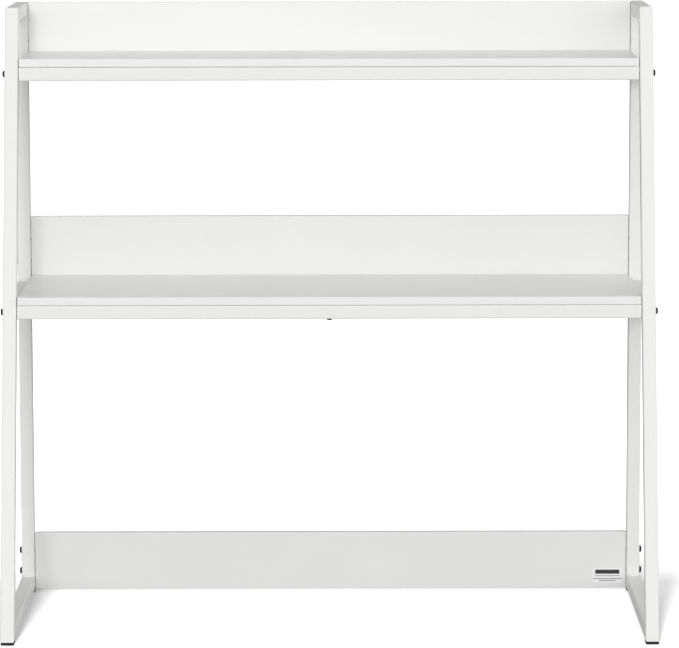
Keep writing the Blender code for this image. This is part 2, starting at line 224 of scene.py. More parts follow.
def drill(radius, start, end, lip=0.0, steps=BORE_STEPS):
    """Cutter for a round bore from start to end; the lip is a chamfer at its end."""
    start, end = Vector(start), Vector(end)
    depth = (end - start).length
    rings = [(radius, 0.0), (radius, depth - lip)]
    if lip:
        rings.append((radius + lip, depth))
    rings.append((radius + lip, depth + MARGIN))
    mesh = turned("cutter", rings, steps)
    aim = (end - start).to_track_quat("Z", "Y").to_matrix().to_4x4()
    mesh.transform(Matrix.Translation(start) @ aim @ Matrix.Rotation(BORE_TURN, 4, "Z"))
    return mesh


def block(low, high):
    """Plain box cutter between two corners."""
    low, high = Vector(low), Vector(high)
    bm = bmesh.new()
    bmesh.ops.create_cube(bm, size=1.0)
    bmesh.ops.scale(bm, vec=high - low, verts=bm.verts)
    bmesh.ops.translate(bm, vec=(low + high) / 2, verts=bm.verts)
    return finished_mesh("cutter", bm)


def carved(mesh, cutters, cut_material=None):
    """Mesh with every cutter taken out of it; the cut walls may take their own material."""
    bm = bmesh.new()
    for cutter in cutters:
        bm.from_mesh(cutter)
        bpy.data.meshes.remove(cutter)
    joined = finished_mesh("cutter", bm)
    if cut_material:
        joined.materials.append(cut_material)
    body = bpy.data.objects.new("carved_body", mesh)
    tool = bpy.data.objects.new("carving_tool", joined)
    for obj in (body, tool):
        bpy.context.scene.collection.objects.link(obj)
    modifier = body.modifiers.new("carve", "BOOLEAN")
    modifier.operation = "DIFFERENCE"
    modifier.solver = "EXACT"
    modifier.use_self = True
    modifier.material_mode = "TRANSFER"
    modifier.object = tool
    result = evaluated(body)
    if not any(result.materials):
        result.materials.clear()
    for obj in (body, tool):
        bpy.data.objects.remove(obj)
    result.shade_smooth()
    result.set_sharp_from_angle(angle=SHARP_EDGE)
    return result


def evaluated(body):
    """Mesh of an object with its modifiers, named as the object's own mesh."""
    graph = bpy.context.evaluated_depsgraph_get()
    result = bpy.data.meshes.new_from_object(body.evaluated_get(graph))
    result.name = body.data.name
    return result


def piece(name, mesh, slot, *nodes, materials=()):
    """New part of the object: it rides on the one body and stands for CAD nodes.

    Its normals lean to the larger faces, so that flat sides stay flat up to their rounded edges.
    """
    for material in materials:
        if material.name not in mesh.materials:
            mesh.materials.append(material)
    obj = bpy.data.objects.new(name, mesh)
    bpy.context.scene.collection.objects.link(obj)
    modifier = obj.modifiers.new("flat_sides", "WEIGHTED_NORMAL")
    modifier.keep_sharp = True
    modifier.weight = 100
    obj.data = evaluated(obj)
    obj.modifiers.remove(modifier)
    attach(obj, "root")
    if nodes:
        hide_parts(*nodes)
    return obj


def fresh_copy(make, name, *sizes):
    """New mesh of a repeated shape, which is itself made only once for each set of sizes."""
    mesh = make(*(round(size, MICROMETRE) for size in sizes)).copy()
    mesh.name = name
    return mesh


def middle(node):
    low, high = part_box(node)
    return (low + high) / 2


# ---------------------------------------------------------------- side frames


def outline(side):
    """Outer corners of a side frame as (y, z), in order around it."""
    leg_low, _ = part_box(f"{side}_front_leg")
    rear_low, rear_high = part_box(f"{side}_rear_leg")
    top_low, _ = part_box(f"{side}_top_tube")
    return {
        "front_bottom": Vector((leg_low.y, leg_low.z)),
        "rear_bottom": Vector((rear_high.y, rear_low.z)),
        "rear_top": Vector((rear_high.y, rear_high.z)),
        "front_top": Vector((top_low.y, rear_high.z)),
    }


def tube_ring(size, radius, centre_x, axis_point, along, plane):
    """Square tube section where a plane, given as (point, normal) in (y, z), cuts it."""
    across = Vector((-along.y, along.x))
    point, normal = plane
    ring = []
    for x, offset in rounded_rectangle(size, size, radius):
        base = axis_point + across * offset
        travel = (point - base).dot(normal) / along.dot(normal)
        spot = base + along * travel
        ring.append((centre_x + x, spot.x, spot.y))
    return ring


def tube_between(name, size, centre_x, axis_point, along, start_plane, end_plane):
    """Hollow tube whose ends are eased, so that a fine seam shows where it meets its neighbour."""
    inner = size - 2 * TUBE_WALL
    eased = size - 2 * SEAM
    start_in = (start_plane[0] + start_plane[1] * SEAM, start_plane[1])
    end_in = (end_plane[0] + end_plane[1] * SEAM, end_plane[1])
    sections = [
        (eased, TUBE_RADIUS - SEAM, start_plane),
        (size, TUBE_RADIUS, start_in),
        (size, TUBE_RADIUS, end_in),
        (eased, TUBE_RADIUS - SEAM, end_plane),
        (inner, TUBE_RADIUS - TUBE_WALL, end_plane),
        (inner, TUBE_RADIUS - TUBE_WALL, start_plane),
    ]
    rings = [tube_ring(s, r, centre_x, axis_point, along, plane) for s, r, plane in sections]
    return loft(name, rings, loop=True)


def mitre(corner, before, after, toward):
    """Plane that halves a frame corner; its normal points into the tube."""
    bisector = ((before - corner).normalized() + (after - corner).normalized()).normalized()
    normal = Vector((-bisector.y, bisector.x))
    if normal.dot(toward - corner) < 0:
        normal = -normal
    return corner, normal


def mitred_tube(name, side, size, start, end):
    """Tube along one side of the frame, mitred at both corners."""
    corners = outline(side)
    names = list(corners)
    here = names.index(start)
    before = corners[names[here - 1]]
    corner, far = corners[start], corners[end]
    beyond = corners[names[(here + 2) % len(names)]]
    along = (far - corner).normalized()
    inward = Vector((-along.y, along.x))
    return tube_between(
        name,
        size,
        middle(f"{side}_rear_leg").x,
        corner + inward * size / 2,
        along,
        mitre(corner, before, far, far),
        mitre(far, beyond, corner, corner),
    )


def tube_size():
    low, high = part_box("left_rear_leg")
    return high.x - low.x


def bolt_bores(bolts, size):
    """Cutters through a leg for its bolts."""
    cutters = []
    for bolt in bolts:
        centre = middle(bolt)
        sign = math.copysign(1, centre.x)
        leg_x = middle(f"{'right' if sign > 0 else 'left'}_rear_leg").x
        inside = leg_x - sign * (size / 2 + MARGIN)
        outside = leg_x + sign * size / 2
        cutters.append(drill(BOLT_BORE, (inside, centre.y, centre.z), (outside, centre.y, centre.z)))
    return cutters


def side_rail_mesh(side, size):
    """Short rail between the leaning leg and the upright one."""
    corners = outline(side)
    lean = (corners["front_top"] - corners["front_bottom"]).normalized()
    into_frame = Vector((lean.y, -lean.x))
    leg_back = corners["front_bottom"] + into_frame * size
    rear_low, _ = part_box(f"{side}_rear_leg")
    centre = middle(f"{side}_side_rail")
    return tube_between(
        f"{side}_side_rail_tube",
        size,
        centre.x,
        Vector((0.0, centre.z)),
        Vector((1.0, 0.0)),
        (leg_back, into_frame),
        (Vector((rear_low.y, 0.0)), Vector((-1.0, 0.0))),
    )


def bead_rings(centre_x, length, corner, first, second):
    """Rings of a rippled weld bead along X that fills the corner between two directions."""
    count = max(8, round(length / BEAD_PITCH * BEAD_STEPS_PER_RIPPLE))
    rings = []
    for step in range(count + 1):
        share = step / count
        ripple = abs(math.sin(math.pi * share * length / BEAD_PITCH))
        drift = math.sin(9.0 * share + 40.0 * corner.x) * BEAD_DRIFT
        ends = min(1.0, BEAD_END_RISE * share + BEAD_END, BEAD_END_RISE * (1 - share) + BEAD_END)
        leg = BEAD_LEG * (1 - BEAD_RIPPLE + BEAD_RIPPLE * ripple + drift) * ends
        x = centre_x + (share - 0.5) * length
        section = [(-BEAD_BURY, -BEAD_BURY), (leg, -BEAD_BURY)]
        for arc in range(BEAD_ARC_STEPS + 1):
            angle = TURN * arc / BEAD_ARC_STEPS
            section.append((leg * math.cos(angle) ** BEAD_HOLLOW, leg * math.sin(angle) ** BEAD_HOLLOW))
        section.append((-BEAD_BURY, leg))
        ring = []
        for u, v in section:
            spot = corner + first * u + second * v
            ring.append((x, spot.x, spot.y))
        rings.append(ring)
    return rings


def line_meet(point, along, other_point, other_along):
    """Where two lines in the side plane cross."""
    across = Vector((-other_along.y, other_along.x))
    travel = (other_point - point).dot(across) / along.dot(across)
    return point + along * travel


def frame_beads(side, size):
    """Inside corners of a side frame, each as (corner, one face's direction, the other's)."""
    corners = outline(side)
    names = list(corners)
    faces = []
    for here, name in enumerate(names):
        start, end = corners[name], corners[names[(here + 1) % 4]]
        along = (end - start).normalized()
        inward = Vector((-along.y, along.x))
        faces.append((start + inward * size, along))
    beads = []
    for here in range(4):
        point, along = faces[here]
        last_point, last_along = faces[here - 1]
        beads.append((line_meet(point, along, last_point, last_along), along, -last_along))
    rail_low, rail_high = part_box(f"{side}_side_rail")
    floor_point, to_rear = faces[0]
    rear_point, up = faces[1]
    leg_point, down_leg = faces[3]
    for height, away in ((rail_low.z, -1), (rail_high.z, 1)):
        level = Vector((0.0, height))
        front = line_meet(level, to_rear, leg_point, down_leg)
        rear = line_meet(level, to_rear, rear_point, up)
        beads.append((front, to_rear, -down_leg * away))
        beads.append((rear, -to_rear, up * away))
    return beads


def weld_mesh(side, size):
    """All weld beads of a side frame as one mesh of closed bodies."""
    bm = bmesh.new()
    centre_x = middle(f"{side}_rear_leg").x
    length = size - 2 * TUBE_RADIUS
    for corner, first, second in frame_beads(side, size):
        bead = loft("bead", bead_rings(centre_x, length, corner, first, second))
        bm.from_mesh(bead)
        bpy.data.meshes.remove(bead)
    return finished_mesh(f"{side}_frame_welds", bm, WELD_SHARP_EDGE)


def add_side_frames(steel):
    size = tube_size()
    for side, _ in SIDES:
        rail_bolts = [f"{side}_{shelf}_rail_bolt" for shelf in SHELVES]
        panel_bolts = [f"{side}_{panel}_panel_bolt_{row}" for panel in PANELS for row in ROWS]
        bores = {"front_leg": bolt_bores(rail_bolts, size), "rear_leg": bolt_bores(panel_bolts, size)}
        ends = {
            "floor_rail": ("front_bottom", "rear_bottom"),
            "rear_leg": ("rear_bottom", "rear_top"),
            "top_tube": ("rear_top", "front_top"),
            "front_leg": ("front_top", "front_bottom"),
        }
        for part, (start, end) in ends.items():
            node = f"{side}_{part}"
            mesh = mitred_tube(f"{node}_tube", side, size, start, end)
            if part in bores:
                mesh = carved(mesh, bores[part])
            piece(f"{node}_tube", mesh, "white_powder_coat", node, materials=[steel])
        rail = side_rail_mesh(side, size)
        piece(f"{side}_side_rail_tube", rail, "white_powder_coat", f"{side}_side_rail", materials=[steel])
        piece(f"{side}_frame_welds", weld_mesh(side, size), "white_powder_coat", materials=[steel])


# ---------------------------------------------------------------- front rails


def front_rail_mesh(shelf, size):
    """Plated, hollow rail along X with eased ends and chamfered screw holes."""
    node = f"{shelf}_front_rail"
    low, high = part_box(node)
    centre = (low + high) / 2
    sections = [
        (low.x, size - 2 * SEAM, TUBE_RADIUS - SEAM),
        (low.x + SEAM, size, TUBE_RADIUS),
        (high.x - SEAM, size, TUBE_RADIUS),
        (high.x, size - 2 * SEAM, TUBE_RADIUS - SEAM),
    ]
    rings = []
    for x, width, radius in sections:
        ring = rounded_rectangle(width, width, radius)
        rings.append([(x, centre.y + y, centre.z + z) for y, z in ring])
    solid = loft(f"{node}_tube", rings)
    wall = Vector((END_PLATE, TUBE_WALL, TUBE_WALL))
    cutters = [block(low + wall, high - wall)]
    for side, sign in SIDES:
        end = high.x if sign > 0 else low.x
        inside = (end - sign * (END_PLATE + MARGIN), centre.y, centre.z)
        cutters.append(drill(BOLT_BORE, inside, (end, centre.y, centre.z)))
        x = middle(f"{side}_{shelf}_rail_screw").x
        cutters.append(drill(SCREW_BORE, (x, centre.y, centre.z), (x, centre.y, high.z)))
        mouth = (x, centre.y, low.z)
        cutters.append(drill(ACCESS_BORE, (x, centre.y, centre.z), mouth, lip=ACCESS_BORE_LIP))
    if shelf == "mid":
        cutters.append(drill(SCREW_BORE, (0, centre.y, centre.z), (0, centre.y, high.z)))
        cutters.append(drill(SCREW_BORE, (0, centre.y, centre.z), (0, centre.y, low.z)))
    return carved(solid, cutters)


def add_front_rails(steel):
    for shelf in SHELVES:
        node = f"{shelf}_front_rail"
        mesh = front_rail_mesh(shelf, tube_size())
        piece(f"{node}_tube", mesh, "white_powder_coat", node, materials=[steel])


# ---------------------------------------------------------------- boards


def board_mesh(name, low, high, upright):
    """Laminated board with edge bands, a fine glue line around each face and rounded edges.

    Material 0 is the laminate and material 1 the edge band.
    """
    size = high - low
    width, thickness = (size.z, size.y) if upright else (size.y, size.z)
    half = thickness / 2
    upper = [
        (BAND_THICKNESS + 2 * GLUE_LINE, half),
        (BAND_THICKNESS + GLUE_LINE, half - GLUE_LINE),
        (BAND_THICKNESS, half),
    ]
    for step in range(BAND_STEPS + 1):
        angle = TURN * step / BAND_STEPS
        inset = BAND_ROUNDING * (1 - math.sin(angle))
        upper.append((inset, half - BAND_ROUNDING * (1 - math.cos(angle))))
    profile = upper + [(inset, -height) for inset, height in reversed(upper)]
    rings = []
    for inset, height in profile:
        radius = max(BOARD_CORNER - inset, LEAST_CORNER)
        ring = rounded_rectangle(size.x - 2 * inset, width - 2 * inset, radius)
        rings.append([(x, y, height) for x, y in ring])
    materials = [1] * (len(profile) - 1)
    materials[0] = materials[1] = materials[-1] = materials[-2] = 0
    mesh = loft(name, rings, materials=materials)
    if upright:
        mesh.transform(Matrix.Rotation(TURN, 4, "X"))
    mesh.transform(Matrix.Translation((low + high) / 2))
    return mesh


def shelf_bores(shelf):
    """Blind screw holes in a shelf's back edge and underside."""
    low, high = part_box(f"{shelf}_shelf")
    cutters = []
    for side, _ in SIDES:
        screw_low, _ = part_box(f"{side}_{shelf}_back_screw")
        centre = middle(f"{side}_{shelf}_back_screw")
        start = (centre.x, screw_low.y - TIP_SPARE, centre.z)
        cutters.append(drill(SCREW_BORE, start, (centre.x, high.y, centre.z)))
    under = [f"{side}_{shelf}_rail_screw" for side, _ in SIDES]
    if shelf == "mid":
        under.append("mid_rail_centre_screw")
    for screw in under:
        _, screw_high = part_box(screw)
        centre = middle(screw)
        start = (centre.x, centre.y, screw_high.z + TIP_SPARE)
        cutters.append(drill(SCREW_BORE, start, (centre.x, centre.y, low.z)))
    return cutters


def panel_bores(panel):
    """End bores for the bolts, cross bores for the barrel nuts and holes for the shelf's screws."""
    low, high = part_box(f"{panel}_back_panel")
    cutters = []
    for side, sign in SIDES:
        end = high.x if sign > 0 else low.x
        for row in ROWS:
            bolt_low, bolt_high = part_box(f"{side}_{panel}_panel_bolt_{row}")
            bolt = middle(f"{side}_{panel}_panel_bolt_{row}")
            tip = bolt_low.x - TIP_SPARE if sign > 0 else bolt_high.x + TIP_SPARE
            cutters.append(drill(BOLT_BORE, (tip, bolt.y, bolt.z), (end, bolt.y, bolt.z)))
            nut_low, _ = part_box(f"{side}_{panel}_barrel_nut_{row}")
            nut = middle(f"{side}_{panel}_barrel_nut_{row}")
            start = (nut.x, nut_low.y - NUT_BORE_SPARE, nut.z)
            cutters.append(drill(NUT_BORE, start, (nut.x, high.y, nut.z), lip=NUT_BORE_LIP))
        if panel in SHELVES:
            screw = middle(f"{side}_{panel}_back_screw")
            start = (screw.x, low.y - MARGIN, screw.z)
            cutters.append(drill(SCREW_BORE, start, (screw.x, high.y, screw.z)))
    return cutters


def add_boards(laminate, band, core):
    boards = [(f"{shelf}_shelf", False, shelf_bores(shelf)) for shelf in SHELVES]
    boards += [(f"{panel}_back_panel", True, panel_bores(panel)) for panel in PANELS]
    for node, upright, cutters in boards:
        mesh = board_mesh(f"{node}_board", *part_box(node), upright)
        mesh.materials.append(laminate)
        mesh.materials.append(band)
        mesh = carved(mesh, cutters, core)
        piece(f"{node}_board", mesh, "white_laminate", node)


# ---------------------------------------------------------------- fasteners


def hexagon_socket(across, depth, top):
    """Cutter for a chamfered hexagon socket."""
    corner = across / math.sqrt(3)
    rings = []
    for radius, height in ((corner * 0.35, top - depth * 1.3), (corner, top - depth), (corner, top + MARGIN)):
        ring = []
        for step in range(6):
            angle = math.pi * step / 3
            ring.append((radius * math.cos(angle), radius * math.sin(angle), height))
        rings.append(ring)
    return loft("cutter", rings)


@functools.cache
def bolt_mesh(length, head_radius, head_height):
    """Button-head bolt along Z with its seat at zero, a domed head and a rolled thread."""
    thread_top = -length + BOLT_THREAD
    profile = [(BOLT_SHANK * 0.45, -length), (BOLT_SHANK * 0.8, -length + 0.0003)]  # tip
    profile += thread_rings(BOLT_SHANK, -length + 0.0010, thread_top, BOLT_PITCH)
    profile += [(BOLT_SHANK, -0.0006), (BOLT_SHANK + 0.0002, -0.0001), (BOLT_SHANK + 0.0005, 0.0)]  # fillet
    profile += [(head_radius - BOLT_EASE, 0.0), (head_radius, BOLT_EASE), (head_radius, BOLT_RIM)]
    for step in range(1, BOLT_DOME_STEPS):
        angle = TURN * step / BOLT_DOME_STEPS
        reach = head_radius * (BOLT_TOP_SHARE + (1 - BOLT_TOP_SHARE) * math.cos(angle))
        profile.append((reach, BOLT_RIM + (head_height - BOLT_RIM) * math.sin(angle)))
    profile += [(head_radius * BOLT_TOP_SHARE, head_height), (head_radius * 0.30, head_height)]
    thread = (-length + 0.0005, thread_top, BOLT_PITCH, BOLT_THREAD_DEPTH)
    mesh = turned("bolt", profile, thread=thread)
    mouth = (0, 0, head_height)
    chamfer = drill(SOCKET_ACROSS * 0.4, (0, 0, head_height - SOCKET_CHAMFER), mouth, lip=SOCKET_CHAMFER)
    return carved(mesh, [hexagon_socket(SOCKET_ACROSS, SOCKET_DEPTH, head_height), chamfer])


def add_bolts(steel):
    bolts = [f"{side}_{shelf}_rail_bolt" for side, _ in SIDES for shelf in SHELVES]
    for side, _ in SIDES:
        bolts += [f"{side}_{panel}_panel_bolt_{row}" for panel in PANELS for row in ROWS]
    for order, node in enumerate(bolts):
        low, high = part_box(node)
        centre = (low + high) / 2
        sign = math.copysign(1, centre.x)
        leg_low, leg_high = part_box("right_rear_leg" if sign > 0 else "left_rear_leg")
        head_end = high.x if sign > 0 else low.x
        seat = (leg_high.x if sign > 0 else leg_low.x) + sign * SEAT_GAP
        tip = low.x if sign > 0 else high.x
        length, head_height = abs(seat - tip), abs(head_end - seat)
        mesh = fresh_copy(bolt_mesh, f"{node}_steel", length, (high.z - low.z) / 2, head_height)
        mesh.transform(Matrix.Rotation(BOLT_SPIN * order, 4, "Z"))
        mesh.transform(Matrix.Rotation(sign * TURN, 4, "Y"))
        mesh.transform(Matrix.Translation((seat, centre.y, centre.z)))
        piece(f"{node}_steel", mesh, "black_oxide_steel", node, materials=[steel])


def cross_recess(top, reach, depth, width):
    """Cutters for a tapered cross recess in a screw head."""
    cutters = []
    for turn in (0.0, TURN):
        rings = []
        for share, height in ((0.35, top - depth), (1.0, top + MARGIN * 0.2)):
            ring = rounded_rectangle(2 * reach * share, width * (0.6 + 0.4 * share), width * 0.2, 2)
            rings.append([(x, y, height) for x, y in ring])
        mesh = loft("cutter", rings)
        mesh.transform(Matrix.Rotation(turn, 4, "Z"))
        cutters.append(mesh)
    return cutters


@functools.cache
def screw_mesh(length, head_radius, head_height):
    """Pan-head wood screw along Z with its seat at zero, a pointed thread and a cross recess."""
    tip = min(SCREW_TIP, length * 0.3)
    profile = [(0.0002, -length), (SCREW_SHANK * 0.55, -length + tip * 0.5)]  # point
    profile += thread_rings(SCREW_SHANK, -length + tip, -0.0010, SCREW_PITCH)
    profile += [(SCREW_SHANK, -0.0003), (head_radius - 0.0002, 0.0), (head_radius, 0.0003)]
    profile.append((head_radius, head_height * SCREW_RIM_SHARE))
    for step in range(1, SCREW_DOME_STEPS):
        angle = TURN * step / SCREW_DOME_STEPS
        reach = head_radius * (SCREW_TOP_SHARE + (1 - SCREW_TOP_SHARE) * math.cos(angle))
        profile.append((reach, head_height * (SCREW_RIM_SHARE + (1 - SCREW_RIM_SHARE) * math.sin(angle))))
    profile += [(head_radius * 0.5, head_height), (head_radius * 0.25, head_height)]
    thread = (-length + tip * 0.8, -0.0008, SCREW_PITCH, SCREW_THREAD_DEPTH)
    mesh = turned("screw", profile, SCREW_STEPS, thread)
    return carved(mesh, cross_recess(head_height, head_radius * 0.55, RECESS_DEPTH, RECESS_WIDTH))


def add_screws(steel):
    """Screws point away from their heads: back screws to the front, the others up."""
    screws = [(f"{side}_{shelf}_back_screw", "Y") for side, _ in SIDES for shelf in SHELVES]
    screws += [(f"{side}_{shelf}_rail_screw", "Z") for side, _ in SIDES for shelf in SHELVES]
    screws.append(("mid_rail_centre_screw", "Z"))
    for order, (node, axis) in enumerate(screws):
        low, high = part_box(node)
        centre = (low + high) / 2
        head_radius = (high.x - low.x) / 2
        if axis == "Y":
            length = high.y - low.y - SCREW_HEAD
            seat = Vector((centre.x, high.y - SCREW_HEAD, centre.z))
            aim = Matrix.Rotation(-TURN, 4, "X")
        else:
            length = high.z - low.z - SCREW_HEAD
            seat = Vector((centre.x, centre.y, low.z + SCREW_HEAD))
            aim = Matrix.Rotation(2 * TURN, 4, "X")
        mesh = fresh_copy(screw_mesh, f"{node}_steel", length, head_radius, SCREW_HEAD)
        mesh.transform(Matrix.Rotation(SCREW_SPIN * order, 4, "Z"))
        mesh.transform(Matrix.Translation(seat) @ aim)
        piece(f"{node}_steel", mesh, "black_oxide_steel", node, materials=[steel])


@functools.cache
def barrel_nut_mesh(radius, length, bore_height):
    """Slotted barrel nut along Z with eased ends and a plain cross bore for the bolt."""
    profile = [
        (radius - NUT_EASE, 0.0),
        (radius, NUT_EASE),
        (radius, length - NUT_EASE),
        (radius - NUT_EASE, length),
    ]
    mesh = turned("barrel_nut", profile, NUT_STEPS)
    half_slot = NUT_SLOT_WIDTH / 2
    slot = block(
        (-half_slot, -2 * radius, length - NUT_SLOT_DEPTH),
        (half_slot, 2 * radius, length + MARGIN),
    )
    bore = drill(BOLT_BORE, (-2 * radius, 0, bore_height), (2 * radius, 0, bore_height))
    return carved(mesh, [slot, bore])


def add_barrel_nuts(zinc):
    nodes = [f"{side}_{panel}_barrel_nut_{row}" for side, _ in SIDES for panel in PANELS for row in ROWS]
    for node in nodes:
        low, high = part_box(node)
        centre = (low + high) / 2
        bolt = middle(node.replace("barrel_nut", "panel_bolt"))
        size = high - low
        mesh = fresh_copy(barrel_nut_mesh, f"{node}_zinc", size.x / 2, size.y, bolt.y - low.y)
        mesh.transform(Matrix.Rotation(-TURN, 4, "X"))
        mesh.transform(Matrix.Translation((centre.x, low.y, centre.z)))
        piece(f"{node}_zinc", mesh, "zinc_plated_steel", node, materials=[zinc])


# ---------------------------------------------------------------- pads and label


def add_foot_pads(rubber):
    """Moulded pads with rounded corners, a slight draft and a grooved tread."""
    for side, _ in SIDES:
        for end in ("front", "rear"):
            node = f"{side}_{end}_foot_pad"
            low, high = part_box(node)
            size, centre = high - low, (low + high) / 2
            levels = [*PAD_LOW_RINGS, *((inset, share * size.z) for inset, share in PAD_HIGH_RINGS)]
            rings = []
            for inset, height in levels:
                ring = rounded_rectangle(size.x - 2 * inset, size.y - 2 * inset, PAD_CORNER - inset)
                rings.append([(centre.x + x, centre.y + y, low.z + height) for x, y in ring])
            grooves = []
            for groove in range(PAD_GROOVES):
                y = centre.y + (groove - PAD_GROOVES // 2) * size.y / (PAD_GROOVES + 1)
                front, back = y - PAD_GROOVE_WIDTH / 2, y + PAD_GROOVE_WIDTH / 2
                corner = (high.x + MARGIN, back, low.z + PAD_GROOVE_DEPTH)
                grooves.append(block((low.x - MARGIN, front, low.z - MARGIN), corner))
            mesh = carved(loft(f"{node}_rubber", rings), grooves)
            piece(f"{node}_rubber", mesh, "black_rubber", node, materials=[rubber])


def add_label(paper):
    """Thin sticker with rounded corners."""
    low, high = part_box("blank_label")
    size, centre = high - low, (low + high) / 2
    rings = []
    for inset, y in ((0.0, high.y), (0.0, low.y + LABEL_EASE), (LABEL_EASE, low.y)):
        ring = rounded_rectangle(size.x - 2 * inset, size.z - 2 * inset, LABEL_CORNER)
        rings.append([(centre.x + x, y, centre.z + z) for x, z in ring])
    mesh = loft("blank_label_sticker", rings)
    piece("blank_label_sticker", mesh, "label_paper", "blank_label", materials=[paper])


# ---------------------------------------------------------------- materials


class Surface:
    """A Principled material and short calls that add nodes to it, scaled in metres."""

    def __init__(self, name, metallic=0.0):
        self.material = bpy.data.materials.new(name)
        self.material.use_nodes = True
        self.tree = self.material.node_tree
        self.shader = self.tree.nodes["Principled BSDF"]
        self.shader.inputs["Metallic"].default_value = metallic
        self.coords = self.tree.nodes.new("ShaderNodeTexCoord").outputs["Object"]

    def link(self, source, target):
        self.tree.links.new(source, target)

    def stretched(self, scale, offset=(0, 0, 0)):
        """Object coordinates scaled by a different amount on each axis."""
        mapping = self.tree.nodes.new("ShaderNodeMapping")
        mapping.inputs["Scale"].default_value = scale
        mapping.inputs["Location"].default_value = offset
        self.link(self.coords, mapping.inputs["Vector"])
        return mapping.outputs["Vector"]

    def noise(self, scale, detail=3.0, roughness=0.5, coords=None):
        made = self.tree.nodes.new("ShaderNodeTexNoise")
        made.inputs["Scale"].default_value = scale
        made.inputs["Detail"].default_value = detail
        made.inputs["Roughness"].default_value = roughness
        self.link(coords or self.coords, made.inputs["Vector"])
        return made.outputs["Fac"]

    def cells(self, scale, feature="F1"):
        made = self.tree.nodes.new("ShaderNodeTexVoronoi")
        made.feature = feature
        made.inputs["Scale"].default_value = scale
        self.link(self.coords, made.inputs["Vector"])
        return made.outputs["Distance"]

    def span(self, value, low, high, start=0.0, end=1.0):
        """Value mapped from start..end to low..high."""
        made = self.tree.nodes.new("ShaderNodeMapRange")
        for socket, number in zip(made.inputs[1:5], (start, end, low, high)):
            socket.default_value = number
        self.link(value, made.inputs["Value"])
        return made.outputs["Result"]

    def math(self, operation, first, second=None, third=None):
        made = self.tree.nodes.new("ShaderNodeMath")
        made.operation = operation
        for socket, value in zip(made.inputs, (first, second, third)):
            if isinstance(value, (int, float)):
                socket.default_value = value
            elif value is not None:
                self.link(value, socket)
        return made.outputs["Value"]

    def mixed(self, factor, first, second):
        """Number that goes from first to second as the factor goes from 0 to 1."""
        made = self.tree.nodes.new("ShaderNodeMix")
        for socket, value in zip(made.inputs[:4], (factor, None, first, second)):
            if isinstance(value, (int, float)):
                socket.default_value = value
            elif value is not None:
                self.link(value, socket)
        return made.outputs[0]

    def blend(self, factor, first, second):
        """Colour that goes from first to second as the factor goes from 0 to 1."""
        made = self.tree.nodes.new("ShaderNodeMix")
        made.data_type = "RGBA"
        for socket, value in ((made.inputs[0], factor), (made.inputs[6], first), (made.inputs[7], second)):
            if isinstance(value, tuple):
                socket.default_value = (*value, 1.0)
            else:
                self.link(value, socket)
        return made.outputs[2]

    def pointiness(self):
        return self.tree.nodes.new("ShaderNodeNewGeometry").outputs["Pointiness"]

    def colour(self, source):
        self.link(source, self.shader.inputs["Base Color"])

    def roughness(self, source):
        self.link(source, self.shader.inputs["Roughness"])

    def bumps(self, *layers):
        """Bump layers as (height, strength, distance), the coarse ones first."""
        normal = None
        for height, strength, distance in layers:
            made = self.tree.nodes.new("ShaderNodeBump")
            made.inputs["Strength"].default_value = strength
            made.inputs["Distance"].default_value = distance
            self.link(height, made.inputs["Height"])
            if normal is not None:
                self.link(normal, made.inputs["Normal"])
            normal = made.outputs["Normal"]
        self.link(normal, self.shader.inputs["Normal"])


def powder_coat():
    """Satin white powder coat: faint clouding, orange peel and a few nibs."""
    surface = Surface("white_powder_coat_finish")
    cloud = surface.span(surface.noise(5.0, 3.0), 0, 1, 0.3, 0.7)
    surface.colour(surface.blend(cloud, (0.832, 0.831, 0.822), (0.840, 0.839, 0.830)))
    surface.roughness(surface.span(surface.noise(300.0, 3.0), 0.48, 0.52, 0.3, 0.7))
    nibs = surface.span(surface.cells(210.0), 1.0, 0.0, 0.0, 0.10)
    surface.bumps(
        (surface.noise(520.0, 2.0), 0.30, 0.00010),
        (nibs, 0.25, 0.00008),
        (surface.noise(2400.0, 2.0), 0.20, 0.00004),
    )
    return surface.material


def laminate():
    """White melamine: pearl texture, faint clouding and fine scuffs along the board."""
    surface = Surface("white_laminate_finish")
    cloud = surface.span(surface.noise(6.0, 5.0, 0.55), 0, 1, 0.3, 0.7)
    surface.colour(surface.blend(cloud, (0.812, 0.812, 0.803), (0.830, 0.830, 0.822)))
    scuffs = surface.noise(1.0, 2.0, 0.5, surface.stretched((5.0, 420.0, 420.0)))
    base = surface.span(surface.noise(30.0, 5.0, 0.6), 0.28, 0.35, 0.3, 0.7)
    surface.roughness(surface.math("ADD", base, surface.span(scuffs, 0.0, 0.08, 0.62, 0.75)))
    surface.bumps(
        (surface.cells(900.0, "SMOOTH_F1"), 0.25, 0.00006),
        (surface.noise(1700.0, 3.0), 0.20, 0.00004),
    )
    return surface.material


def edge_band():
    """Extruded edge band: a little cooler than the laminate, with fine lines along its length."""
    surface = Surface("white_edge_band_finish")
    lines = surface.noise(1.0, 3.0, 0.6, surface.stretched((3.0, 700.0, 1500.0)))
    surface.colour(surface.blend(lines, (0.832, 0.834, 0.830), (0.850, 0.852, 0.850)))
    surface.roughness(surface.span(surface.noise(60.0, 4.0), 0.44, 0.52, 0.3, 0.7))
    surface.bumps((lines, 0.20, 0.00005), (surface.noise(900.0, 2.0), 0.15, 0.00004))
    return surface.material


def board_core():
    """Bare chipboard in the walls of the bores."""
    surface = Surface("board_core_finish")
    chips = surface.cells(700.0)
    surface.colour(surface.blend(surface.span(chips, 0, 1, 0.1, 0.7), (0.42, 0.30, 0.18), (0.23, 0.15, 0.08)))
    surface.roughness(surface.span(surface.noise(900.0), 0.75, 0.95))
    surface.bumps((chips, 0.8, 0.0004))
    return surface.material


